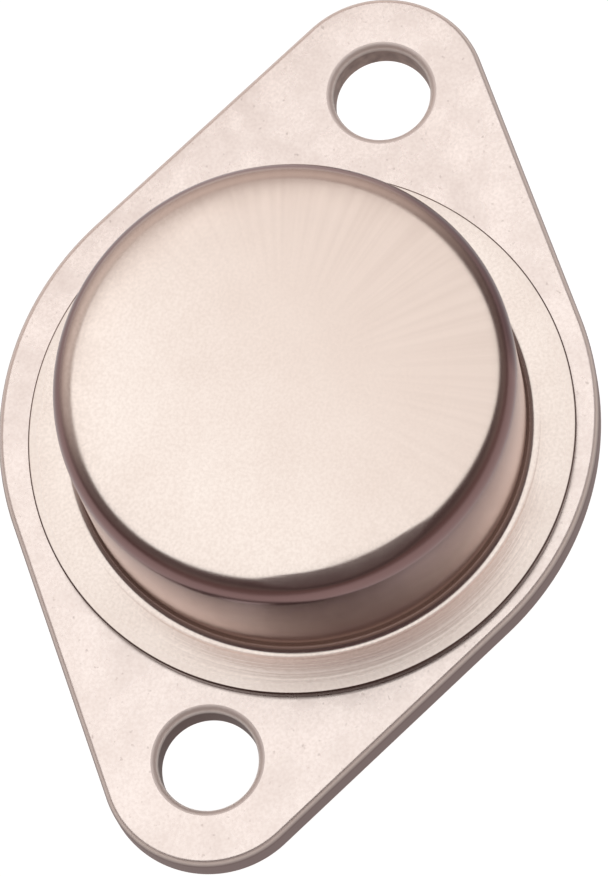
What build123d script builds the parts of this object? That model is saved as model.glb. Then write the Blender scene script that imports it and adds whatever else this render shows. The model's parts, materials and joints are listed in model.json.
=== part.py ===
from build123d import *
import math
import os

os.makedirs("parts", exist_ok=True)

# Power transistor in a two-lead metal can. X runs from mounting hole to mounting hole and Z points
# out of the cap. The origin is the middle of the seating plane, so the leads go down to negative Z.

# Driving sizes in millimetres
hole_spacing = 30.15
hole_diameter = 4.14
flange_width = 25.3
flange_thickness = 1.5
ear_radius = 4.45
overall_height = 8.8
cap_diameter = 18.8
brim_width = 2.1
cap_sheet = 0.45
lead_diameter = 1.0
lead_spacing = 10.92
lead_to_far_hole = 16.89
lead_length = 11.8
die_side = 4.2
overrun = 1.0

# Places that several pieces share
hole_x = hole_spacing / 2
lead_x = lead_to_far_hole - hole_x
lead_y = lead_spacing / 2
hole_places = [(-hole_x, 0), (hole_x, 0)]
lead_places = {"base": (lead_x, -lead_y), "emitter": (lead_x, lead_y)}

# Mounting flange
# A plate stamped from thick steel. Straight sides run tangent from the wide middle to the two ears,
# the press leaves the upper edges rounded, and each lead passes through a hole of its own.
flange_edge_round = 0.22
flange_edge_bevel = 0.1
hole_edge_round = 0.26
seal_diameter = 3.2

ear_rims = [(Pos(x, y) * Circle(ear_radius)).edge() for x, y in hole_places]
outline = make_hull([Circle(flange_width / 2).edge(), *ear_rims])
flange = extrude(outline, flange_thickness)
for x, y in hole_places:
    flange -= Pos(x, y) * extrude(Circle(hole_diameter / 2), flange_thickness + overrun)
top = flange.faces().sort_by(Axis.Z)[-1]
flange = fillet(top.outer_wire().edges(), flange_edge_round)
top = flange.faces().sort_by(Axis.Z)[-1]
flange = fillet([edge for wire in top.inner_wires() for edge in wire.edges()], hole_edge_round)
flange = chamfer(flange.faces().sort_by(Axis.Z)[0].edges(), flange_edge_bevel)
for x, y in lead_places.values():
    flange -= Pos(x, y) * extrude(Circle(seal_diameter / 2), flange_thickness + overrun)
export_step(flange, "parts/mounting_flange.step")

# Weld cap
# A top hat drawn from thin steel and ring welded to the flange by its brim. The section follows the
# sheet: brim, hollow foot bend, straight wall, rounded rim and flat top. The weld leaves it a little
# off the middle of the flange, towards the side of the ear at negative X.
cap_rim_radius = 1.0
cap_foot_radius = 0.5
weld_offset_x = -0.52
weld_offset_y = -0.36

cap_radius = cap_diameter / 2
wall_inside = cap_radius - cap_sheet
brim_radius = cap_radius + brim_width
brim_top = flange_thickness + cap_sheet
under_top = overall_height - cap_sheet
cap_section = make_face(
    Polyline(
        (0, overall_height),
        (cap_radius, overall_height),
        (cap_radius, brim_top),
        (brim_radius, brim_top),
        (brim_radius, flange_thickness),
        (wall_inside, flange_thickness),
        (wall_inside, under_top),
        (0, under_top),
        close=True,
    )
)
cap_bends = [
    ((cap_radius, overall_height), cap_rim_radius),
    ((wall_inside, under_top), cap_rim_radius - cap_sheet),
    ((cap_radius, brim_top), cap_foot_radius),
    ((wall_inside, flange_thickness), cap_foot_radius + cap_sheet),
]
for corner, radius in cap_bends:
    cap_section = fillet(cap_section.vertices().sort_by_distance(corner)[0], radius)
cap = Pos(weld_offset_x, weld_offset_y) * revolve(Plane.XZ * cap_section, Axis.Z)
export_step(cap, "parts/weld_cap.step")

# Leads
# Two round pins of nickel iron. Inside the can each ends in a flat nail head that takes a bond wire.
# The length below the flange is tinned. The tin thins out to the bare pin a little below the glass,
# and at the other end the tip is bevelled.
tin_thickness = 0.02
tin_start = 0.3
tin_runout = 0.7
lead_rise = 1.3
lead_head_diameter = 1.6
lead_head_thickness = 0.4
lead_tip_bevel = 0.2

lead_radius = lead_diameter / 2
pin_radius = lead_radius - tin_thickness
head_radius = lead_head_diameter / 2
head_top = flange_thickness + lead_rise
head_under = head_top - lead_head_thickness
lead_section = Plane.XZ * make_face(
    Polyline(
        (0, head_top),
        (head_radius, head_top),
        (head_radius, head_under),
        (pin_radius, head_under),
        (pin_radius, -tin_start),
        (lead_radius, -tin_start - tin_runout),
        (lead_radius, lead_tip_bevel - lead_length),
        (lead_radius - lead_tip_bevel, -lead_length),
        (0, -lead_length),
        close=True,
    )
)
lead = revolve(lead_section, Axis.Z)
for name, (x, y) in lead_places.items():
    export_step(Pos(x, y) * lead, f"parts/{name}_lead.step")

# Glass seals
# A ring of fused glass fills the hole round each lead, holds it and insulates it from the flange.
# The melt wets the steel and the lead, so both faces sag between them.
seal_sag = 0.16

seal_radius = seal_diameter / 2
seal_middle = (seal_radius + pin_radius) / 2
outer_side = Line((seal_radius, 0), (seal_radius, flange_thickness))
upper_face = ThreePointArc(
    (seal_radius, flange_thickness),
    (seal_middle, flange_thickness - seal_sag),
    (pin_radius, flange_thickness),
)
inner_side = Line((pin_radius, flange_thickness), (pin_radius, 0))
lower_face = ThreePointArc((pin_radius, 0), (seal_middle, seal_sag), (seal_radius, 0))
seal_sides = Curve() + [outer_side, upper_face, inner_side, lower_face]
seal = revolve(Plane.XZ * make_face(seal_sides), Axis.Z)
for name, (x, y) in lead_places.items():
    export_step(Pos(x, y) * seal, f"parts/{name}_seal.step")

# Die stack
# The silicon chip is soldered to a copper disc that spreads its heat, and the disc is brazed to the
# flange, which is the collector. Braze and solder run out a little past what they hold.
braze_thickness = 0.06
braze_margin = 0.15
spreader_thickness = 0.9
spreader_margin = 0.4
spreader_edge_bevel = 0.1
solder_thickness = 0.06
solder_margin = 0.12
die_thickness = 0.3

spreader_radius = math.hypot(die_side, die_side) / 2 + spreader_margin
spreader_foot = flange_thickness + braze_thickness
solder_foot = spreader_foot + spreader_thickness
die_foot = solder_foot + solder_thickness
die_top = die_foot + die_thickness
solder_side = die_side + 2 * solder_margin

braze = Pos(0, 0, flange_thickness) * extrude(Circle(spreader_radius + braze_margin), braze_thickness)
export_step(braze, "parts/spreader_braze.step")
spreader = Pos(0, 0, spreader_foot) * extrude(Circle(spreader_radius), spreader_thickness)
spreader = chamfer(spreader.faces().sort_by(Axis.Z)[-1].edges(), spreader_edge_bevel)
export_step(spreader, "parts/heat_spreader.step")
solder = Pos(0, 0, solder_foot) * extrude(Rectangle(solder_side, solder_side), solder_thickness)
export_step(solder, "parts/die_solder.step")
die = Pos(0, 0, die_foot) * extrude(Rectangle(die_side, die_side), die_thickness)
export_step(die, "parts/silicon_die.step")

# Contact combs
# Two aluminium films on the chip, the base comb from one side and the emitter comb from the other,
# with their fingers between each other. The wide back of each comb is where its wire is bonded.
comb_thickness = 0.04
comb_border = 0.3
comb_back = 1.0
comb_gap = 0.12
base_finger_width = 0.36
base_fingers = 3
emitter_fingers = base_fingers + 1

comb_side = die_side - 2 * comb_border
gaps_width = (base_fingers + emitter_fingers - 1) * comb_gap
emitter_finger_width = (comb_side - base_fingers * base_finger_width - gaps_width) / emitter_fingers
finger_pitch = base_finger_width + emitter_finger_width + 2 * comb_gap
finger_length = comb_side - 2 * comb_back - comb_gap
back_y = (comb_side - comb_back) / 2
finger_y = back_y - (comb_back + finger_length) / 2
combs = {
    "base": (-1, base_fingers, base_finger_width),
    "emitter": (1, emitter_fingers, emitter_finger_width),
}
for name, (side, count, width) in combs.items():
    comb = Pos(0, side * back_y) * Rectangle(comb_side, comb_back)
    for i in range(count):
        x = (i - (count - 1) / 2) * finger_pitch
        comb += Pos(x, side * finger_y) * Rectangle(width, finger_length)
    export_step(Pos(0, 0, die_top) * extrude(comb, comb_thickness), f"parts/{name}_comb.step")

# Bond wires
# Aluminium wire pressed flat where it is bonded to a comb and to a nail head. Between the bonds it
# rises and falls in a free loop, which takes up the stretch when the can warms.
wire_diameter = 0.3
bond_length = 0.7
bond_width = 0.42
bond_thickness = 0.16
loop_rise = 1.5
loop_bend_radius = 1.4

comb_top = die_top + comb_thickness


def bond_wire(start, end):
    """A wire looped from its bond on the comb to its bond on the nail head, both points on metal."""
    run = Vector(end[0] - start[0], end[1] - start[1])
    along = run.normalized()
    climb = end[2] - start[2]
    upright = Plane(origin=start, x_dir=along, z_dir=along.cross(Vector(0, 0, 1)))
    loop = upright * FilletPolyline(
        (0, bond_thickness),
        (run.length / 2, bond_thickness + climb / 2 + loop_rise),
        (run.length, bond_thickness + climb),
        radius=loop_bend_radius,
    )
    wire = sweep(Plane(origin=loop @ 0, z_dir=loop % 0) * Circle(wire_diameter / 2), loop)
    for place in (start, end):
        flat = Plane(origin=place, x_dir=along, z_dir=(0, 0, 1))
        wire += extrude(flat * SlotOverall(bond_length, bond_width), bond_thickness)
    return wire


for name, (x, y) in lead_places.items():
    comb_bond = (0, combs[name][0] * back_y, comb_top)
    export_step(bond_wire(comb_bond, (x, y, head_top)), f"parts/{name}_bond_wire.step")
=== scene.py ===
import json
import math

import bmesh
import bpy
from mathutils import Matrix, Vector


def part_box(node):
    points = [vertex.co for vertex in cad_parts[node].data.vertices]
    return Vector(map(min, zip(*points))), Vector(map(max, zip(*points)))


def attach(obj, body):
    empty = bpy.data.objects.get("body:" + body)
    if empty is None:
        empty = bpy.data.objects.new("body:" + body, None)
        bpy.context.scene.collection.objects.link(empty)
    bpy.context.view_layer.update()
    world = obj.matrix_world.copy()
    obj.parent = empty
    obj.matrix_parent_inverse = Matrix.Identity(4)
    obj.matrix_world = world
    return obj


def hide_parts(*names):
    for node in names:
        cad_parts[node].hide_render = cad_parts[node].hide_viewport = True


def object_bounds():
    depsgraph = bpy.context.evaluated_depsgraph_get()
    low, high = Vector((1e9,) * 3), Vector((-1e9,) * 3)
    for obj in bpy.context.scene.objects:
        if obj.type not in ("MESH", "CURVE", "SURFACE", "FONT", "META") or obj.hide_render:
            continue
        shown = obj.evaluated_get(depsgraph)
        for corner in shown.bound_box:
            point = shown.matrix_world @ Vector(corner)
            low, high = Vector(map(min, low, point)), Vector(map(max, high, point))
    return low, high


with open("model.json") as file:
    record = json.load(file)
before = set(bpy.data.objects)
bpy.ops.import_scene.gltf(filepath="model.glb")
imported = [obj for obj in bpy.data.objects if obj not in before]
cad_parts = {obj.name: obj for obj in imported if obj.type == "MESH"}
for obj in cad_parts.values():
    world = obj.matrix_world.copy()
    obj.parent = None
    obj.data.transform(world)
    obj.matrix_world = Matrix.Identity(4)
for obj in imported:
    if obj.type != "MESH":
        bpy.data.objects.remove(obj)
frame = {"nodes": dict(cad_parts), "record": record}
cad_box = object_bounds()
record = frame["record"]
scene = bpy.context.scene
scene.view_settings.view_transform = "Standard"

# Mounting flange
# A plate stamped from thick steel and plated with satin nickel, with a bolt hole in each ear and a
# smaller hole for each glass seal. The press rolls the upper edges over and leaves the sides torn.
mm = 0.001
flange_low, flange_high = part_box("mounting_flange")
bolt_holes = next(mount for mount in record["mounts"] if mount["name"] == "bolt_holes")["dims"]
hole_x = bolt_holes["spacing_x_mm"] * mm / 2
hole_radius = bolt_holes["hole_r_mm"] * mm
ear_radius = flange_high.x - hole_x
middle_radius = flange_high.y
flange_top = flange_high.z
edge_bevel = 0.1 * mm
edge_roll_width = 0.27 * mm
edge_roll_depth = 0.4 * mm
hole_roll_width = 0.29 * mm
hole_roll_depth = 0.38 * mm
roll_steps = 14
arc_step = math.radians(1.5)
sharp_angle = math.radians(30)
lead_names = ("base", "emitter")
flank_angle = math.acos((middle_radius - ear_radius) / hole_x)


def arc(centre_x, centre_y, radius, start, end):
    """Points along an arc, both ends included."""
    steps = max(2, round((end - start) / arc_step))
    angles = [start + (end - start) * i / steps for i in range(steps + 1)]
    return [(centre_x + radius * math.cos(a), centre_y + radius * math.sin(a)) for a in angles]


def flange_outline(inset):
    """The flange's outline drawn in by inset: two ears, the wide middle, and the flanks between."""
    ear = ear_radius - inset
    middle = middle_radius - inset
    half = math.pi
    return (
        arc(hole_x, 0, ear, -flank_angle, flank_angle)
        + arc(0, 0, middle, flank_angle, half - flank_angle)
        + arc(-hole_x, 0, ear, half - flank_angle, half + flank_angle)
        + arc(0, 0, middle, half + flank_angle, 2 * half - flank_angle)
    )


def edge_levels(roll_width, roll_depth):
    """Inset and height up the plate's side: lower bevel, straight side, and the rolled upper edge."""
    levels = [(edge_bevel, 0), (0, edge_bevel)]
    for i in range(roll_steps + 1):
        t = math.pi / 2 * i / roll_steps
        levels.append((roll_width * (1 - math.cos(t)), flange_top - roll_depth * (1 - math.sin(t))))
    return levels


def wall_rings(bm, loops, finish=0):
    """Joins loops of points, given with their heights, and returns the lowest and highest edges."""
    rings = [[bm.verts.new((x, y, z)) for x, y in points] for points, z in loops]
    count = len(rings[0])
    for lower, upper in zip(rings, rings[1:]):
        for i in range(count):
            j = (i + 1) % count
            face = bm.faces.new((lower[i], lower[j], upper[j], upper[i]))
            face.smooth = True
            face.material_index = finish
    ends = (rings[0], rings[-1])
    return [[bm.edges.get((ring[i], ring[(i + 1) % count])) for i in range(count)] for ring in ends]


bm = bmesh.new()
full_turn = 2 * math.pi
outer_levels = edge_levels(edge_roll_width, edge_roll_depth)
hole_levels = edge_levels(hole_roll_width, hole_roll_depth)
walls = [wall_rings(bm, [(flange_outline(inset), z) for inset, z in outer_levels])]
for x in (-hole_x, hole_x):
    loops = [(arc(x, 0, hole_radius + inset, 0, full_turn)[:-1], z) for inset, z in hole_levels]
    walls.append(wall_rings(bm, loops, finish=1))
for name in lead_names:
    seal_low, seal_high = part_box(f"{name}_seal")
    middle = (seal_low + seal_high) / 2
    rim = arc(middle.x, middle.y, (seal_high.x - seal_low.x) / 2, 0, full_turn)[:-1]
    walls.append(wall_rings(bm, [(rim, 0), (rim, flange_top)]))
for end in (0, 1):
    bmesh.ops.triangle_fill(bm, edges=[edge for wall in walls for edge in wall[end]], use_beauty=True)
bmesh.ops.recalc_face_normals(bm, faces=bm.faces)
flange_mesh = bpy.data.meshes.new("mounting_flange_plate")
bm.to_mesh(flange_mesh)
bm.free()
flange_mesh.set_sharp_from_angle(angle=sharp_angle)
flange = bpy.data.objects.new("mounting_flange_plate", flange_mesh)
scene.collection.objects.link(flange)


def linear(colour):
    """Turns an sRGB hex colour into linear red, green, blue and alpha."""
    parts = [int(colour[i:i + 2], 16) / 255 for i in (1, 3, 5)]
    return [p / 12.92 if p <= 0.04045 else ((p + 0.055) / 1.055) ** 2.4 for p in parts] + [1.0]


def add(tree, kind, feeds=None, **settings):
    """Adds a node with its settings, and feeds its inputs with values or with other nodes' outputs."""
    node = tree.nodes.new(kind)
    for key, value in settings.items():
        setattr(node, key, value)
    for key, value in (feeds or {}).items():
        if isinstance(value, bpy.types.NodeSocket):
            tree.links.new(value, node.inputs[key])
        else:
            node.inputs[key].default_value = value
    return node


def new_material(name):
    """A named material with its node tree, a place that reads Object coordinates, and its shader."""
    material = bpy.data.materials.new(name)
    material.use_nodes = True
    tree = material.node_tree
    place = add(tree, "ShaderNodeTexCoord").outputs["Object"]
    return material, tree, place, tree.nodes["Principled BSDF"]


# Satin nickel plate over stamped steel: a pale warm metal with soft reflections, a little cloudy, with a
# few dark specks and a fine grain, drawn as coarse as it needs to show. The rolled edges are dull. The torn
# sides are painted much darker, partly for the torn steel and partly as painted shade in place of the dark
# reflection they would show.
flange_nickel, tree, place, shader = new_material("satin nickel on stamped steel")
cloud = add(tree, "ShaderNodeTexNoise", {"Vector": place, "Scale": 1 / (1.8 * mm), "Detail": 4.0})
cloud_tint = add(
    tree, "ShaderNodeMix", {"Factor": cloud.outputs["Fac"], 6: linear("#FBF1EA"), 7: linear("#EFE3DB")},
    data_type="RGBA",
)
speck = add(tree, "ShaderNodeTexNoise", {"Vector": place, "Scale": 1 / (0.3 * mm), "Detail": 2.0})
speck_share = add(
    tree, "ShaderNodeMapRange",
    {"Value": speck.outputs["Fac"], "From Min": 0.66, "From Max": 0.76, "To Max": 0.35},
)
grain = add(tree, "ShaderNodeTexNoise", {"Vector": place, "Scale": 1 / (0.14 * mm), "Detail": 2.0})
grain_share = add(
    tree, "ShaderNodeMapRange",
    {"Value": grain.outputs["Fac"], "From Min": 0.35, "From Max": 0.65, "To Max": 0.2},
)
grained = add(
    tree, "ShaderNodeMix",
    {"Factor": grain_share.outputs["Result"], 6: cloud_tint.outputs[2], 7: linear("#C9B8AF")},
    data_type="RGBA",
)
specked = add(
    tree, "ShaderNodeMix",
    {"Factor": speck_share.outputs["Result"], 6: grained.outputs[2], 7: linear("#8E7B74")},
    data_type="RGBA",
)
facing = add(tree, "ShaderNodeSeparateXYZ", {"Vector": add(tree, "ShaderNodeNewGeometry").outputs["Normal"]})
upright = add(tree, "ShaderNodeMath", {0: facing.outputs["Z"]}, operation="ABSOLUTE")
# Painted shade: the upright sides are painted dark mauve-grey, partly for the torn steel and partly in place
# of the dark reflection they would show.
torn_and_shaded_share = add(
    tree, "ShaderNodeMapRange",
    {"Value": upright.outputs[0], "From Min": 0.2, "From Max": 0.65, "To Min": 1.0, "To Max": 0.0},
)
rolled_share = add(
    tree, "ShaderNodeMapRange",
    {"Value": upright.outputs[0], "From Min": 0.75, "From Max": 0.99, "To Min": 1.0, "To Max": 0.0},
)
rolled_tint = add(
    tree, "ShaderNodeMix",
    {"Factor": rolled_share.outputs["Result"], 6: specked.outputs[2], 7: linear("#F0E6DF")},
    data_type="RGBA",
)
torn_and_shaded_tint = add(
    tree, "ShaderNodeMix",
    {"Factor": torn_and_shaded_share.outputs["Result"], 6: rolled_tint.outputs[2], 7: linear("#8A7976")},
    data_type="RGBA",
)
tree.links.new(torn_and_shaded_tint.outputs[2], shader.inputs["Base Color"])
satin = add(
    tree, "ShaderNodeMapRange",
    {"Value": cloud.outputs["Fac"], "From Min": 0.3, "From Max": 0.7, "To Min": 0.22, "To Max": 0.32},
)
side_rough = add(
    tree, "ShaderNodeMix",
    {"Factor": rolled_share.outputs["Result"], 2: satin.outputs["Result"], 3: 0.72},
)
tree.links.new(side_rough.outputs[0], shader.inputs["Roughness"])
relief = add(
    tree, "ShaderNodeBump",
    {"Height": grain.outputs["Fac"], "Strength": 0.2, "Distance": 0.006 * mm},
)
tree.links.new(relief.outputs["Normal"], shader.inputs["Normal"])
shader.inputs["Metallic"].default_value = 1.0
flange_mesh.materials.append(flange_nickel)

# The same plating in the punched bolt holes, rough, with painted shade: the straight walls are painted brown
# and nearly dark, most of all in the hole at negative X, and the edge that the punch has rolled over stays
# pale.
hole_nickel, tree, place, shader = new_material("nickel in punched holes with painted shade")
patch = add(
    tree, "ShaderNodeTexNoise", {"Vector": place, "Scale": 1 / (0.5 * mm), "Detail": 3.0},
).outputs["Fac"]
plate_x = add(tree, "ShaderNodeSeparateXYZ", {"Vector": place}).outputs["X"]
# Painted shade on the hole walls: darkest in the hole at negative X, lighter towards positive X, with darker
# patches.
far_share = add(tree, "ShaderNodeMapRange", {"Value": plate_x, "From Min": -hole_x, "From Max": hole_x})
shaded_wall_tint = add(
    tree, "ShaderNodeMix",
    {"Factor": far_share.outputs["Result"], 6: linear("#64504B"), 7: linear("#A8938A")},
    data_type="RGBA",
)
wall_tint = add(
    tree, "ShaderNodeMix", {"Factor": patch, 6: shaded_wall_tint.outputs[2], 7: linear("#5F4C48")},
    data_type="RGBA",
)
facing = add(tree, "ShaderNodeSeparateXYZ", {"Vector": add(tree, "ShaderNodeNewGeometry").outputs["Normal"]})
rolled_share = add(
    tree, "ShaderNodeMapRange", {"Value": facing.outputs["Z"], "From Min": 0.05, "From Max": 0.5},
)
hole_tint = add(
    tree, "ShaderNodeMix",
    {"Factor": rolled_share.outputs["Result"], 6: wall_tint.outputs[2], 7: linear("#F6EDE7")},
    data_type="RGBA",
)
tree.links.new(hole_tint.outputs[2], shader.inputs["Base Color"])
shader.inputs["Roughness"].default_value = 0.64
shader.inputs["Metallic"].default_value = 1.0
flange_mesh.materials.append(hole_nickel)
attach(flange, "root")
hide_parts("mounting_flange")

# Glass seals
# A ring of glass is melted into each of the flange's smaller holes, round a lead. It wets the steel
# and the lead, so its faces sag between them, and it insulates the lead from the flange.
seal_sag = 0.16 * mm
tin_thickness = 0.02 * mm
sag_steps = 12
turn_segments = 256
bend_steps = 16
merge_distance = 0.0005 * mm
level_face = 0.99999

lathe = bpy.data.node_groups.new("turned piece", "GeometryNodeTree")
lathe_inputs = {}
for name, kind in (
    ("Section", "NodeSocketGeometry"),
    ("Centre", "NodeSocketVector"),
    ("Path Radius", "NodeSocketFloat"),
    ("Segments", "NodeSocketInt"),
    ("Bend Steps", "NodeSocketInt"),
    ("Merge Distance", "NodeSocketFloat"),
    ("Material", "NodeSocketMaterial"),
):
    lathe_inputs[name] = lathe.interface.new_socket(name=name, in_out="INPUT", socket_type=kind)
lathe.interface.new_socket(name="Piece", in_out="OUTPUT", socket_type="NodeSocketGeometry")
given = add(lathe, "NodeGroupInput").outputs
section_line = add(lathe, "GeometryNodeMeshToCurve", {"Mesh": given["Section"]})
bend = add(lathe, "GeometryNodeInputNamedAttribute", {"Name": "bend"}, data_type="FLOAT")
bent = add(
    lathe, "GeometryNodeFilletCurve",
    {"Curve": section_line.outputs["Curve"], "Count": given["Bend Steps"],
     "Radius": bend.outputs["Attribute"], "Limit Radius": True},
    mode="POLY",
)
inward = add(lathe, "ShaderNodeMath", {0: given["Path Radius"], 1: -1.0}, operation="MULTIPLY")
to_path = add(lathe, "ShaderNodeCombineXYZ", {"X": inward.outputs[0]})
from_path = add(
    lathe, "GeometryNodeTransform",
    {"Geometry": bent.outputs["Curve"], "Translation": to_path.outputs["Vector"]},
)
path = add(
    lathe, "GeometryNodeCurvePrimitiveCircle",
    {"Resolution": given["Segments"], "Radius": given["Path Radius"]},
)
swept = add(
    lathe, "GeometryNodeCurveToMesh",
    {"Curve": path.outputs["Curve"], "Profile Curve": from_path.outputs["Geometry"]},
)
closed_up = add(
    lathe, "GeometryNodeMergeByDistance",
    {"Geometry": swept.outputs["Mesh"], "Distance": given["Merge Distance"]},
)
placed = add(
    lathe, "GeometryNodeTransform",
    {"Geometry": closed_up.outputs["Geometry"], "Translation": given["Centre"]},
)
realized = add(lathe, "GeometryNodeRealizeInstances", {"Geometry": placed.outputs["Geometry"]})
coated = add(
    lathe, "GeometryNodeSetMaterial",
    {"Geometry": realized.outputs["Geometry"], "Material": given["Material"]},
)
add(lathe, "NodeGroupOutput", {"Piece": coated.outputs["Geometry"]})


def turned(name, section, centre, material, closed=False):
    """A turned piece from its half section, a list of radius, height and bend radius, round an axis."""
    count = len(section)
    edges = [(i, (i + 1) % count) for i in range(count if closed else count - 1)]
    mesh = bpy.data.meshes.new(name)
    mesh.from_pydata([(radius, -height, 0) for radius, height, bend_radius in section], edges, [])
    bends = mesh.attributes.new("bend", "FLOAT", "POINT")
    bends.data.foreach_set("value", [bend_radius for radius, height, bend_radius in section])
    piece = bpy.data.objects.new(name, mesh)
    scene.collection.objects.link(piece)
    modifier = piece.modifiers.new("turned piece", "NODES")
    modifier.node_group = lathe
    values = {
        "Centre": (centre[0], centre[1], 0.0),
        "Path Radius": max(radius for radius, height, bend_radius in section),
        "Segments": turn_segments,
        "Bend Steps": bend_steps,
        "Merge Distance": merge_distance,
        "Material": material,
    }
    for key, value in values.items():
        modifier[lathe_inputs[key].identifier] = value
    evaluated = piece.evaluated_get(bpy.context.evaluated_depsgraph_get())
    finished = bpy.data.meshes.new_from_object(evaluated)
    piece.modifiers.clear()
    bm = bmesh.new()
    bm.from_mesh(finished)
    bmesh.ops.recalc_face_normals(bm, faces=bm.faces)
    for face in bm.faces:
        face.smooth = abs(face.normal.z) < level_face
    bm.to_mesh(finished)
    bm.free()
    finished.set_sharp_from_angle(angle=sharp_angle)
    piece.data = finished
    return piece


# Fused sealing glass, pressed and melted: dark grey-green, glossy, with faint bubbles just below the
# surface. It lets so little light through that it reads as a solid colour.
seal_glass, tree, place, shader = new_material("fused sealing glass")
swirl = add(tree, "ShaderNodeTexNoise", {"Vector": place, "Scale": 1 / (0.7 * mm), "Detail": 3.0})
glass_tint = add(
    tree, "ShaderNodeMix", {"Factor": swirl.outputs["Fac"], 6: linear("#39453F"), 7: linear("#56635B")},
    data_type="RGBA",
)
bubble = add(tree, "ShaderNodeTexVoronoi", {"Vector": place, "Scale": 1 / (0.25 * mm)})
bubble_share = add(
    tree, "ShaderNodeMapRange",
    {"Value": bubble.outputs["Distance"], "From Min": 0.1, "From Max": 0.25, "To Min": 0.5, "To Max": 0.0},
)
bubbled = add(
    tree, "ShaderNodeMix",
    {"Factor": bubble_share.outputs["Result"], 6: glass_tint.outputs[2], 7: linear("#9AA79F")},
    data_type="RGBA",
)
tree.links.new(bubbled.outputs[2], shader.inputs["Base Color"])
shader.inputs["Roughness"].default_value = 0.08
shader.inputs["IOR"].default_value = 1.52
for name in lead_names:
    seal_low, seal_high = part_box(f"{name}_seal")
    lead_middle = (seal_low + seal_high) / 2
    seal_radius = (seal_high.x - seal_low.x) / 2
    pin_mount = next(mount for mount in record["mounts"] if mount["name"] == f"{name}_pin")
    lead_radius = pin_mount["dims"]["r_mm"] * mm
    pin_radius = lead_radius - tin_thickness
    section = []
    for height, sink, order in ((0, seal_sag, 1), (flange_top, -seal_sag, -1)):
        for i in range(sag_steps + 1)[::order]:
            s = i / sag_steps
            section.append((pin_radius + (seal_radius - pin_radius) * s, height + sink * 4 * s * (1 - s), 0))
    seal = turned(f"{name}_glass_seal", section, lead_middle, seal_glass, closed=True)
    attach(seal, "root")
    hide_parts(f"{name}_seal")

# Leads
# Two straight pins of nickel iron, sealed in the glass. Each has a nail head inside the can, and
# below the flange it is dipped in tin, which thins out short of the glass. The tip is bevelled.
tin_start = 0.3 * mm
tin_runout = 0.7 * mm
tip_bevel = 0.2 * mm
head_thickness = 0.4 * mm
head_edge = 0.08 * mm

# Tin dipped over drawn wire: bright and grey, with fine lines along the wire and soft dull patches.
tinned_wire, tree, place, shader = new_material("tin dipped over drawn wire")
along = add(tree, "ShaderNodeMapping", {"Vector": place, "Scale": (1.0, 1.0, 0.04)})
lines = add(
    tree, "ShaderNodeTexNoise",
    {"Vector": along.outputs["Vector"], "Scale": 1 / (0.12 * mm), "Detail": 2.0},
)
patch = add(tree, "ShaderNodeTexNoise", {"Vector": place, "Scale": 1 / (1.4 * mm), "Detail": 3.0})
tin_tint = add(
    tree, "ShaderNodeMix", {"Factor": patch.outputs["Fac"], 6: linear("#DAD5D0"), 7: linear("#B9B3AE")},
    data_type="RGBA",
)
tree.links.new(tin_tint.outputs[2], shader.inputs["Base Color"])
tin_rough = add(
    tree, "ShaderNodeMapRange",
    {"Value": patch.outputs["Fac"], "From Min": 0.35, "From Max": 0.65, "To Min": 0.2, "To Max": 0.38},
)
tree.links.new(tin_rough.outputs["Result"], shader.inputs["Roughness"])
relief = add(
    tree, "ShaderNodeBump",
    {"Height": lines.outputs["Fac"], "Strength": 0.3, "Distance": 0.008 * mm},
)
tree.links.new(relief.outputs["Normal"], shader.inputs["Normal"])
shader.inputs["Metallic"].default_value = 1.0
for name in lead_names:
    lead_low, lead_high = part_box(f"{name}_lead")
    head_radius = (lead_high.x - lead_low.x) / 2
    head_under = lead_high.z - head_thickness
    section = [
        (0, lead_high.z, 0),
        (head_radius, lead_high.z, head_edge),
        (head_radius, head_under, head_edge),
        (pin_radius, head_under, 0),
        (pin_radius, -tin_start, 0),
        (lead_radius, -tin_start - tin_runout, 0),
        (lead_radius, lead_low.z + tip_bevel, 0),
        (lead_radius - tip_bevel, lead_low.z, 0),
        (0, lead_low.z, 0),
    ]
    lead = turned(f"{name}_lead_pin", section, (lead_low + lead_high) / 2, tinned_wire)
    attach(lead, "root")
    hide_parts(f"{name}_lead")

# Die stack
# The silicon chip is soldered to a copper disc that spreads its heat, and the disc is brazed to the
# flange. The can hides all four pieces, so they keep the frame's own shapes.


def dress(node, material):
    """Gives a piece of the frame its finish."""
    for place_of_material in frame["nodes"][node].material_slots:
        place_of_material.material = material


def mottled(name, grain, pale, deep, smooth, rough):
    """A metal with soft patches, from the patches' size, two colours and the two ends of roughness."""
    material, tree, place, shader = new_material(name)
    patch = add(
        tree, "ShaderNodeTexNoise", {"Vector": place, "Scale": 1 / grain, "Detail": 4.0},
    ).outputs["Fac"]
    tint = add(tree, "ShaderNodeMix", {"Factor": patch, 6: linear(pale), 7: linear(deep)}, data_type="RGBA")
    tree.links.new(tint.outputs[2], shader.inputs["Base Color"])
    satin = add(
        tree, "ShaderNodeMapRange",
        {"Value": patch, "From Min": 0.3, "From Max": 0.7, "To Min": smooth, "To Max": rough},
    )
    tree.links.new(satin.outputs["Result"], shader.inputs["Roughness"])
    shader.inputs["Metallic"].default_value = 1.0
    return material


# Copper that the brazing oven has annealed: salmon pink with browner grains. The braze is a silver alloy,
# pale yellow where it has run out, and the soft solder is a dull grey.
dress("spreader_braze", mottled("silver braze, run out", 0.4 * mm, "#DDD0B8", "#BFAE90", 0.25, 0.45))
dress("heat_spreader", mottled("annealed copper", 0.5 * mm, "#D9987A", "#B06E52", 0.24, 0.42))
dress("die_solder", mottled("soft solder, run out", 0.25 * mm, "#AEADAF", "#858489", 0.3, 0.5))

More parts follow.
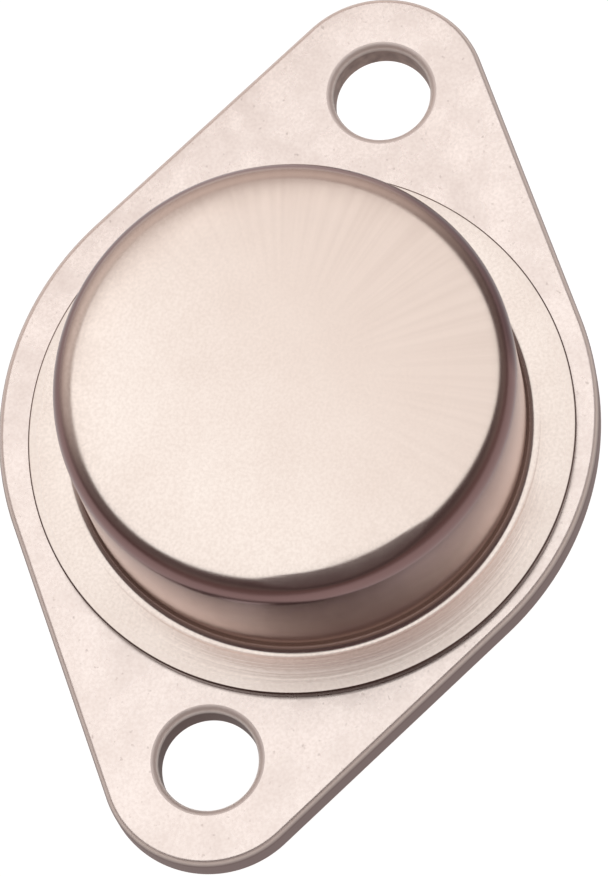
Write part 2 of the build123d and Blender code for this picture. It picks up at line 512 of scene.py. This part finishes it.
# Polished silicon: a dark blue-grey mirror, faintly cloudy where the passivation glass is thicker.
silicon, tree, place, shader = new_material("polished silicon")
haze = add(
    tree, "ShaderNodeTexNoise", {"Vector": place, "Scale": 1 / (0.9 * mm), "Detail": 2.0},
).outputs["Fac"]
haze_tint = add(
    tree, "ShaderNodeMix", {"Factor": haze, 6: linear("#43464F"), 7: linear("#565864")}, data_type="RGBA",
)
tree.links.new(haze_tint.outputs[2], shader.inputs["Base Color"])
shader.inputs["Roughness"].default_value = 0.06
shader.inputs["IOR"].default_value = 3.9
dress("silicon_die", silicon)

# Contact combs
# Two aluminium films evaporated on the chip, with their fingers between each other. Each one's wide back
# takes a bond wire.

# Evaporated aluminium: white and satin, with a fine frosty grain.
film = mottled("evaporated aluminium", 0.1 * mm, "#E2E2E4", "#CBCBCF", 0.26, 0.36)
for name in lead_names:
    dress(f"{name}_comb", film)

# Bond wires
# Soft aluminium wire, pressed flat on the combs and on the nail heads of the leads, with a free loop
# between.

# Drawn aluminium: bright, with duller stretches along the wire.
wire_metal = mottled("drawn aluminium wire", 0.6 * mm, "#E4E3E4", "#C6C5C9", 0.18, 0.34)
for name in lead_names:
    dress(f"{name}_bond_wire", wire_metal)

# Weld cap
# A top hat drawn from thin steel sheet, plated with satin nickel, and ring welded to the flange by its
# brim. The wall stands straight between the foot bend and the rim bend. A knock has left a flat on the
# rim, on the side of the ear at negative X.
cap_low, cap_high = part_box("weld_cap")
cap_middle = (cap_low + cap_high) / 2
brim_radius = (cap_high.x - cap_low.x) / 2
cap_radius = 9.48 * mm
cap_sheet = 0.45 * mm
rim_bend = 1.13 * mm
foot_bend = 0.45 * mm
brim_edge_round = 0.08 * mm
brim_top = flange_top + cap_sheet
wall_inside = cap_radius - cap_sheet
under_top = cap_high.z - cap_sheet
crown_start = 6.7 * mm
crown_drop = 0.08 * mm
crown_rings = 10
rim_start = cap_radius - rim_bend
rim_slope = 2 * crown_drop / (rim_start - crown_start)
rim_height = cap_high.z - crown_drop
top_shade_direction = (0.8, -0.6, 0)
top_shade_from, top_shade_to = -6 * mm, 7 * mm
streak_radius = 6 * mm
streak_width = 0.3 * mm
rim_shade_direction = (0.707, -0.707, 0)
rim_shade_from, rim_shade_to = 7.4 * mm, 8.7 * mm
other_rim_shade_direction = (0.26, 0.97, 0)
other_rim_shade_from = 6.5 * mm
weld_width = 1.2 * mm
knock_angle = math.radians(-148)
knock_distance = 8.33 * mm
knock_arc = 11 * mm
knock_slope = math.tan(math.radians(18.5))
knock_round = 5.0 * mm
knock_softness = 0.012 * mm

# Satin nickel over drawn steel: pale, finely grained and fairly smooth on the top and the brim, and dull on
# the bends and the wall, which the drawing die has rubbed. Painted light and shade colour the bends and the
# wall mauve-brown: paler low on the wall, darker towards the rim and in the foot bend. Painted shade darkens
# one side of the top, which has faint darker rays, and the rim bend, most of all on two sides, and the
# brim's outer edge. The brim has fine rings round the wall and is duller near the weld. The grain is drawn
# as coarse as it needs to show.
cap_nickel, tree, place, shader = new_material("satin nickel on drawn steel")
centred = add(
    tree, "ShaderNodeVectorMath", {0: place, 1: (cap_middle.x, cap_middle.y, 0)}, operation="SUBTRACT",
).outputs["Vector"]
spread = add(tree, "ShaderNodeVectorMath", {0: centred, 1: (1, 1, 0)}, operation="MULTIPLY").outputs["Vector"]
from_axis = add(tree, "ShaderNodeVectorMath", {0: spread}, operation="LENGTH").outputs["Value"]
height = add(tree, "ShaderNodeSeparateXYZ", {"Vector": place}).outputs["Z"]
facing = add(tree, "ShaderNodeSeparateXYZ", {"Vector": add(tree, "ShaderNodeNewGeometry").outputs["Normal"]})
cloud = add(tree, "ShaderNodeTexNoise", {"Vector": place, "Scale": 1 / (2.6 * mm), "Detail": 4.0})
cloud_tint = add(
    tree, "ShaderNodeMix", {"Factor": cloud.outputs["Fac"], 6: linear("#F7EEE5"), 7: linear("#EFE3D9")},
    data_type="RGBA",
)
grain = add(tree, "ShaderNodeTexNoise", {"Vector": place, "Scale": 1 / (0.14 * mm), "Detail": 2.0})
grain_share = add(
    tree, "ShaderNodeMapRange",
    {"Value": grain.outputs["Fac"], "From Min": 0.35, "From Max": 0.65, "To Max": 0.2},
)
grained = add(
    tree, "ShaderNodeMix",
    {"Factor": grain_share.outputs["Result"], 6: cloud_tint.outputs[2], 7: linear("#C6B6AB")},
    data_type="RGBA",
)
# Painted shade: the top is painted a little darker towards the side at (0.8, -0.6), fading out down the wall.
across = add(
    tree, "ShaderNodeVectorMath", {0: centred, 1: top_shade_direction}, operation="DOT_PRODUCT",
).outputs["Value"]
top_shade = add(
    tree, "ShaderNodeMapRange",
    {"Value": across, "From Min": top_shade_from, "From Max": top_shade_to, "To Min": 0.0, "To Max": 1.0},
    interpolation_type="SMOOTHSTEP",
)
upper = add(
    tree, "ShaderNodeMapRange", {"Value": height, "From Min": brim_top + 1 * mm, "From Max": under_top},
)
top_shade_share = add(
    tree, "ShaderNodeMath", {0: top_shade.outputs["Result"], 1: upper.outputs["Result"]}, operation="MULTIPLY",
)
top_shaded_tint = add(
    tree, "ShaderNodeMix",
    {"Factor": top_shade_share.outputs[0], 6: grained.outputs[2], 7: linear("#E2D3C8")},
    data_type="RGBA",
)
# Faint darker rays from the axis, only where the top carries painted shade.
ray = add(tree, "ShaderNodeVectorMath", {0: spread}, operation="NORMALIZE").outputs["Vector"]
streak = add(tree, "ShaderNodeTexNoise", {"Vector": ray, "Scale": streak_radius / streak_width, "Detail": 3.0})
streak_share = add(
    tree, "ShaderNodeMapRange",
    {"Value": streak.outputs["Fac"], "From Min": 0.4, "From Max": 0.65, "To Max": 0.13},
)
streak_reach = add(
    tree, "ShaderNodeMapRange", {"Value": from_axis, "From Min": streak_radius / 3, "From Max": streak_radius},
)
streak_depth = add(
    tree, "ShaderNodeMath",
    {0: streak_share.outputs["Result"], 1: streak_reach.outputs["Result"]}, operation="MULTIPLY",
)
streaked = add(
    tree, "ShaderNodeMath", {0: streak_depth.outputs[0], 1: top_shade_share.outputs[0]}, operation="MULTIPLY",
)
streaked_tint = add(
    tree, "ShaderNodeMix",
    {"Factor": streaked.outputs[0], 6: top_shaded_tint.outputs[2], 7: linear("#C4B2A7")},
    data_type="RGBA",
)
# The steeper faces: duller, and coloured with painted light and shade.
rubbed_and_shaded = add(
    tree, "ShaderNodeMapRange",
    {"Value": facing.outputs["Z"], "From Min": 0.7, "From Max": 0.95, "To Min": 1.0, "To Max": 0.0},
    interpolation_type="SMOOTHSTEP",
)
# Painted light and shade up the wall: pale low on the wall, mauve-brown towards the rim.
wall_shade_share = add(
    tree, "ShaderNodeMapRange",
    {"Value": height, "From Min": brim_top + 3 * foot_bend, "From Max": cap_high.z - rim_bend},
)
wall_light_and_shade_tint = add(
    tree, "ShaderNodeMix",
    {"Factor": wall_shade_share.outputs["Result"], 6: linear("#E4CBC1"), 7: linear("#896D6A")},
    data_type="RGBA",
)
# Painted shade in the foot bend.
foot_share = add(
    tree, "ShaderNodeMapRange",
    {"Value": height, "From Min": brim_top + foot_bend, "From Max": brim_top + 1.7 * foot_bend,
     "To Min": 1.0, "To Max": 0.0},
)
foot_tint = add(
    tree, "ShaderNodeMix",
    {"Factor": foot_share.outputs["Result"], 6: wall_light_and_shade_tint.outputs[2], 7: linear("#9C867E")},
    data_type="RGBA",
)
wall_shaded_tint = add(
    tree, "ShaderNodeMix",
    {"Factor": rubbed_and_shaded.outputs["Result"], 6: streaked_tint.outputs[2], 7: foot_tint.outputs[2]},
    data_type="RGBA",
)
# Painted shade all round the rim bend, strongest towards (0.707, -0.707) and somewhat stronger towards (0.26,
# 0.97).
rim_shade_side = add(
    tree, "ShaderNodeVectorMath", {0: centred, 1: rim_shade_direction}, operation="DOT_PRODUCT",
).outputs["Value"]
rim_shade_across = add(
    tree, "ShaderNodeMapRange", {"Value": rim_shade_side, "From Min": rim_shade_from, "From Max": rim_shade_to},
    interpolation_type="SMOOTHSTEP",
)
other_rim_shade_side = add(
    tree, "ShaderNodeVectorMath", {0: centred, 1: other_rim_shade_direction}, operation="DOT_PRODUCT",
).outputs["Value"]
other_rim_shade_across = add(
    tree, "ShaderNodeMapRange",
    {"Value": other_rim_shade_side, "From Min": other_rim_shade_from, "From Max": rim_shade_to, "To Min": 0.3, "To Max": 0.6},
    interpolation_type="SMOOTHSTEP",
)
painted_rim_shade = add(
    tree, "ShaderNodeMath",
    {0: rim_shade_across.outputs["Result"], 1: other_rim_shade_across.outputs["Result"]}, operation="MAXIMUM",
)
rim_shade_up = add(
    tree, "ShaderNodeMapRange",
    {"Value": height, "From Min": cap_high.z - 1.6 * rim_bend, "From Max": cap_high.z - rim_bend},
)
rim_shade_down = add(
    tree, "ShaderNodeMapRange",
    {"Value": facing.outputs["Z"], "From Min": 0.6, "From Max": 0.85, "To Min": 1.0, "To Max": 0.0},
)
rim_shade_above = add(
    tree, "ShaderNodeMath", {0: painted_rim_shade.outputs[0], 1: rim_shade_up.outputs["Result"]}, operation="MULTIPLY",
)
rim_shade_share = add(
    tree, "ShaderNodeMath",
    {0: rim_shade_above.outputs[0], 1: rim_shade_down.outputs["Result"]}, operation="MULTIPLY",
)
rim_shaded_tint = add(
    tree, "ShaderNodeMix",
    {"Factor": rim_shade_share.outputs[0], 6: wall_shaded_tint.outputs[2], 7: linear("#573F40")},
    data_type="RGBA",
)
# Painted shade on the brim's rounded outer edge.
brim_edge_shade_share = add(
    tree, "ShaderNodeMapRange",
    {"Value": from_axis, "From Min": brim_radius - brim_edge_round,
     "From Max": brim_radius - brim_edge_round / 2, "To Max": 0.9},
)
brim_edge_shaded_tint = add(
    tree, "ShaderNodeMix",
    {"Factor": brim_edge_shade_share.outputs["Result"], 6: rim_shaded_tint.outputs[2], 7: linear("#5A423C")},
    data_type="RGBA",
)
tree.links.new(brim_edge_shaded_tint.outputs[2], shader.inputs["Base Color"])
satin = add(
    tree, "ShaderNodeMapRange",
    {"Value": cloud.outputs["Fac"], "From Min": 0.3, "From Max": 0.7, "To Min": 0.19, "To Max": 0.25},
)
weld_share = add(
    tree, "ShaderNodeMapRange",
    {"Value": from_axis, "From Min": brim_radius - weld_width, "From Max": brim_radius},
)
weld_rough = add(
    tree, "ShaderNodeMix",
    {"Factor": weld_share.outputs["Result"], 2: satin.outputs["Result"], 3: 0.3},
)
rubbed_rough = add(
    tree, "ShaderNodeMix",
    {"Factor": rubbed_and_shaded.outputs["Result"], 2: weld_rough.outputs[0], 3: 0.26},
)
tree.links.new(rubbed_rough.outputs[0], shader.inputs["Roughness"])
ring = add(
    tree, "ShaderNodeTexNoise", {"W": from_axis, "Scale": 1 / (0.22 * mm), "Detail": 2.0},
    noise_dimensions="1D",
)
ring_share = add(
    tree, "ShaderNodeMapRange",
    {"Value": from_axis, "From Min": cap_radius + foot_bend, "From Max": brim_radius,
     "To Min": 1.0, "To Max": 0.15},
)
on_brim = add(tree, "ShaderNodeMath", {0: from_axis, 1: cap_radius}, operation="GREATER_THAN")
ring_depth = add(
    tree, "ShaderNodeMath", {0: ring_share.outputs["Result"], 1: on_brim.outputs[0]}, operation="MULTIPLY",
)
ring_height = add(
    tree, "ShaderNodeMath", {0: ring.outputs["Fac"], 1: ring_depth.outputs[0]}, operation="MULTIPLY",
)
relief = add(
    tree, "ShaderNodeBump",
    {"Height": ring_height.outputs[0], "Strength": 0.3, "Distance": 0.02 * mm},
)
tree.links.new(relief.outputs["Normal"], shader.inputs["Normal"])
shader.inputs["Metallic"].default_value = 1.0
section = [(0, cap_high.z, 0)]
for i in range(crown_rings):
    s = i / crown_rings
    section.append((crown_start + (rim_start - crown_start) * s, cap_high.z - crown_drop * s ** 2, 0))
section += [
    (cap_radius, rim_height - rim_slope * rim_bend, rim_bend),
    (cap_radius, brim_top, foot_bend),
    (brim_radius, brim_top, brim_edge_round),
    (brim_radius, flange_top, brim_edge_round),
    (wall_inside, flange_top, foot_bend + cap_sheet),
    (wall_inside, under_top, rim_bend - cap_sheet),
    (0, under_top, 0),
]
cap = turned("weld_cap_shell", section, cap_middle, cap_nickel)
for vertex in cap.data.vertices:
    from_middle = vertex.co - cap_middle
    outward = math.cos(knock_angle) * from_middle.x + math.sin(knock_angle) * from_middle.y
    aside = math.cos(knock_angle) * from_middle.y - math.sin(knock_angle) * from_middle.x
    beyond = outward + aside ** 2 / (2 * knock_arc) - knock_distance
    knocked_height = rim_height - knock_slope * beyond - max(0, beyond) ** 2 / (2 * knock_round)
    proud = vertex.co.z - knocked_height
    if proud > knock_softness:
        vertex.co.z -= proud
    elif proud > -knock_softness:
        vertex.co.z -= (proud + knock_softness) ** 2 / (4 * knock_softness)
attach(cap, "root")
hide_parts("weld_cap")

# Floor
# A plain white table that the leads stand on. It shows white to the camera and in the metal, and keeps
# a little of the part's shadow.
floor_radius = 3.0
floor_height = cad_box[0].z
table_white = 0.9
bm = bmesh.new()
bmesh.ops.create_circle(bm, cap_ends=True, segments=64, radius=floor_radius)
bmesh.ops.translate(bm, verts=bm.verts, vec=(0, 0, floor_height))
floor_mesh = bpy.data.meshes.new("floor")
bm.to_mesh(floor_mesh)
bm.free()
floor = bpy.data.objects.new("floor", floor_mesh)
scene.collection.objects.link(floor)
white_table = bpy.data.materials.new("white table")
white_table.use_nodes = True
tree = white_table.node_tree
tree.nodes.clear()
light = add(tree, "ShaderNodeLightPath").outputs
direct = add(
    tree, "ShaderNodeMath", {0: light["Is Camera Ray"], 1: light["Is Glossy Ray"]}, operation="MAXIMUM",
)
seen = add(
    tree, "ShaderNodeMath", {0: direct.outputs[0], 1: light["Is Transmission Ray"]}, operation="MAXIMUM",
)
shown_white = add(tree, "ShaderNodeMath", {0: seen.outputs[0], 1: table_white}, operation="MULTIPLY")
matt = add(tree, "ShaderNodeBsdfDiffuse", {"Color": linear("#9A9A9A")})
white = add(tree, "ShaderNodeEmission", {"Color": linear("#FFFFFF"), "Strength": shown_white.outputs[0]})
both = add(tree, "ShaderNodeAddShader", {0: matt.outputs[0], 1: white.outputs[0]})
add(tree, "ShaderNodeOutputMaterial", {"Surface": both.outputs[0]})
floor_mesh.materials.append(white_table)

# Camera
# A long lens looking steeply down from the side of the near ear, rolled a little.
view_azimuth = math.radians(-57.614)
view_elevation = math.radians(69.466)
view_roll = math.radians(-19.543)
view_distance = 208.7 * mm
focal_pixels = 4964.7
centre_pixel = (300.49, 430.87)
image_size = (608, 877)
back = Vector((
    math.sin(view_azimuth) * math.cos(view_elevation),
    -math.cos(view_azimuth) * math.cos(view_elevation),
    math.sin(view_elevation),
))
level = Vector((math.cos(view_azimuth), math.sin(view_azimuth), 0))
upward = back.cross(level)
right = math.cos(view_roll) * level + math.sin(view_roll) * upward
up = -math.sin(view_roll) * level + math.cos(view_roll) * upward
camera = bpy.data.objects.new("camera", bpy.data.cameras.new("camera"))
turn = Matrix((right, up, back)).transposed().to_4x4()
camera.matrix_world = Matrix.Translation(back * view_distance) @ turn
camera.data.lens = focal_pixels * camera.data.sensor_width / max(image_size)
camera.data.shift_x = (image_size[0] / 2 - centre_pixel[0]) / max(image_size)
camera.data.shift_y = (centre_pixel[1] - image_size[1] / 2) / max(image_size)
camera.data.clip_start = 0.01
scene.collection.objects.link(camera)
scene.camera = camera

# Lights
# An oval soft box hangs over the part, a little behind it. The room round it is dark brown, with a pale
# pinkish wall behind the part and a lighter strip near the floor, palest on the camera's side.
box_length = 1.0
box_width = 0.44
box_height = 0.45
box_behind = 0.08
box_aside = 0.05
box_turn = view_azimuth + math.radians(4)
box_radiance = 1.03
toward_camera = Vector((back.x, back.y, 0)).normalized()
box_place = level * box_aside - toward_camera * box_behind + Vector((0, 0, box_height))
soft_box = bpy.data.lights.new("oval soft box", "AREA")
soft_box.shape = "ELLIPSE"
soft_box.size = box_length
soft_box.size_y = box_width
soft_box.energy = box_radiance * math.pi * math.pi / 4 * box_length * box_width
holder = bpy.data.objects.new("oval soft box", soft_box)
holder.matrix_world = Matrix.Translation(box_place) @ Matrix.Rotation(box_turn, 4, "Z")
scene.collection.objects.link(holder)

room = bpy.data.worlds.new("dim room")
scene.world = room
room.use_nodes = True
tree = room.node_tree
direction = add(tree, "ShaderNodeTexCoord").outputs["Generated"]
wall_angle = math.radians(42)
behind = add(
    tree, "ShaderNodeVectorMath",
    {0: direction, 1: (math.cos(wall_angle), math.sin(wall_angle), 0)}, operation="DOT_PRODUCT",
).outputs["Value"]
wall_share = add(
    tree, "ShaderNodeMapRange", {"Value": behind, "From Min": 0.35, "From Max": 0.75},
    interpolation_type="SMOOTHSTEP",
)
walls = add(
    tree, "ShaderNodeMix",
    {"Factor": wall_share.outputs["Result"], 6: linear("#4D3A3B"), 7: linear("#D6C6C1")},
    data_type="RGBA",
)
rise = add(tree, "ShaderNodeSeparateXYZ", {"Vector": direction}).outputs["Z"]
low_share = add(
    tree, "ShaderNodeMapRange",
    {"Value": rise, "From Min": 0.2, "From Max": 0.64, "To Min": 1.0, "To Max": 0.0},
    interpolation_type="SMOOTHSTEP",
)
front_share = add(
    tree, "ShaderNodeMapRange",
    {"Value": behind, "From Min": -0.5, "From Max": 0.1, "To Min": 1.0, "To Max": 0.45},
    interpolation_type="SMOOTHSTEP",
)
strip_share = add(
    tree, "ShaderNodeMath",
    {0: low_share.outputs["Result"], 1: front_share.outputs["Result"]}, operation="MULTIPLY",
)
room_colour = add(
    tree, "ShaderNodeMix",
    {"Factor": strip_share.outputs[0], 6: walls.outputs[2], 7: linear("#B9A9A4")},
    data_type="RGBA",
)
tree.links.new(room_colour.outputs[2], tree.nodes["Background"].inputs["Color"])
